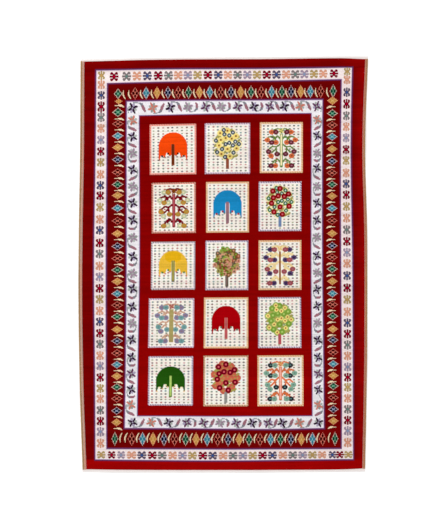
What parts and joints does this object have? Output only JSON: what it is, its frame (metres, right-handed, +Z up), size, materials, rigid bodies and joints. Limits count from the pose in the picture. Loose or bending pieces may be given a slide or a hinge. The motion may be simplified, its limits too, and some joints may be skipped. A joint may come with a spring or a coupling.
{
  "type": "kilim rug",
  "caption": "Flat-woven rectangular wool rug lying flat, with plain-woven end webs and a wrapped cord binding down each side.",
  "frame": {"origin": "middle of the rug's outer box, on the floor under it", "axes": "+X across the rug, +Y along it towards the darker end, +Z up out of the patterned face"},
  "size_m": [1.049, 1.5092, 0.0096],
  "materials": {
    "woven_wool": "matt wrapped wool, patterned",
    "binding_wool": "matt wrapped wool cord"
  },
  "bodies": {
    "root": {"kilim_body": "woven_wool", "selvedge_left": "binding_wool", "selvedge_right": "binding_wool"}
  },
  "joints": []
}
